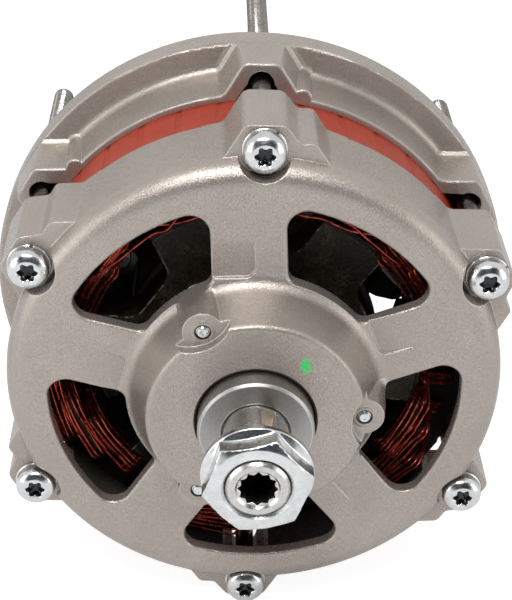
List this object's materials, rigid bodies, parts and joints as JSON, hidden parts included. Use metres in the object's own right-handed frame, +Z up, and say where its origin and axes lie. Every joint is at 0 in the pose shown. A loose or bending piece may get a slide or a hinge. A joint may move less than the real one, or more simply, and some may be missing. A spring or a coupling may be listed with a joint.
{
  "type": "alternator",
  "caption": "Flange-mounted claw-pole alternator with a bare keyed drive shaft and nut, vented cast end housings, an exposed stator core and long through screws.",
  "frame": {"origin": "on the shaft axis, in the plane of the mounting flange's rear face", "axes": "+Z up as pictured, +Y along the shaft towards the slip-ring end, so the drive end points to -Y; +X is to the right seen from the drive end"},
  "size_m": [0.1482, 0.1568, 0.1482],
  "materials": {
    "cast_aluminium": "satin",
    "stator_red": "satin",
    "red_enamel": "gloss",
    "insulation": "matte",
    "copper": "satin",
    "zinc_steel": "satin",
    "bright_steel": "polished",
    "dark_steel": "gloss",
    "heat_sink": "satin",
    "diode_metal": "satin",
    "black_plastic": "satin",
    "ring_copper": "polished",
    "carbon": "matte"
  },
  "bodies": {
    "housing": {"drive_end_housing": "cast_aluminium", "slip_ring_end_housing": "cast_aluminium", "stator_core": "stator_red", "slot_wedges": "insulation", "phase_winding_u": "red_enamel", "phase_winding_v": "red_enamel", "phase_winding_w": "red_enamel", "phase_leads": "insulation", "phase_strips": "copper", "front_bearing_outer_race": "bright_steel", "front_bearing_shields": "dark_steel", "rear_bearing_outer_race": "bright_steel", "rear_bearing_shields": "dark_steel", "rear_bearing_sleeve": "black_plastic", "rear_wave_washer": "bright_steel", "bearing_retainer_plate": "zinc_steel", "retainer_screws": "zinc_steel", "case_screws": "bright_steel", "case_screw_washers": "bright_steel", "brush_holder": "black_plastic", "voltage_regulator": "black_plastic", "brush_holder_screws": "zinc_steel", "brush_spring_front": "bright_steel", "brush_spring_rear": "bright_steel", "positive_heat_sink": "heat_sink", "negative_heat_sink": "heat_sink", "positive_diodes": "diode_metal", "negative_diodes": "diode_metal", "exciter_diode_carrier": "insulation", "exciter_diodes": "black_plastic", "heat_sink_screws": "zinc_steel", "heat_sink_nuts": "zinc_steel", "heat_sink_insulators": "insulation", "battery_stud": "zinc_steel", "battery_stud_insulator": "insulation", "battery_stud_washer": "zinc_steel", "battery_stud_nut": "zinc_steel", "terminal_posts": "zinc_steel", "terminal_insulators": "insulation"},
    "rotor": {"rotor_shaft": "bright_steel", "claw_pole_front": "dark_steel", "claw_pole_rear": "dark_steel", "coil_former": "insulation", "field_coil": "copper", "field_leads": "insulation", "rotor_spacer": "bright_steel", "spacer_collar": "bright_steel", "shaft_nut": "zinc_steel", "slip_ring_sleeve": "insulation", "slip_ring_front": "ring_copper", "slip_ring_rear": "ring_copper", "front_bearing_inner_race": "bright_steel", "rear_bearing_inner_race": "bright_steel"},
    "front_ball_set": {"front_bearing_balls": "bright_steel", "front_bearing_cage": "bright_steel"},
    "rear_ball_set": {"rear_bearing_balls": "bright_steel", "rear_bearing_cage": "bright_steel"},
    "front_brush": {"brush_front": "carbon"},
    "rear_brush": {"brush_rear": "carbon"}
  },
  "joints": [
    {"name": "rotor_spin", "type": "hinge", "parent": "housing", "child": "rotor", "pos_m": [0, 0, 0], "axis": [0, 1, 0], "continuous": true},
    {"name": "front_ball_set_spin", "type": "hinge", "parent": "housing", "child": "front_ball_set", "pos_m": [0, 0, 0], "axis": [0, 1, 0], "continuous": true},
    {"name": "rear_ball_set_spin", "type": "hinge", "parent": "housing", "child": "rear_ball_set", "pos_m": [0, 0, 0], "axis": [0, 1, 0], "continuous": true},
    {"name": "front_brush_slide", "type": "slide", "parent": "housing", "child": "front_brush", "axis": [0.866, 0, 0.5], "range_m": [0, 0.003], "stiffness_N_per_m": 150, "springref_m": -0.01, "deforming": ["brush_spring_front"]},
    {"name": "rear_brush_slide", "type": "slide", "parent": "housing", "child": "rear_brush", "axis": [0.866, 0, 0.5], "range_m": [0, 0.003], "stiffness_N_per_m": 150, "springref_m": -0.01, "deforming": ["brush_spring_rear"]}
  ],
  "couplings": [
    {"joint": "front_ball_set_spin", "follows": "rotor_spin", "ratio": 0.36562},
    {"joint": "rear_ball_set_spin", "follows": "rotor_spin", "ratio": 0.382}
  ]
}
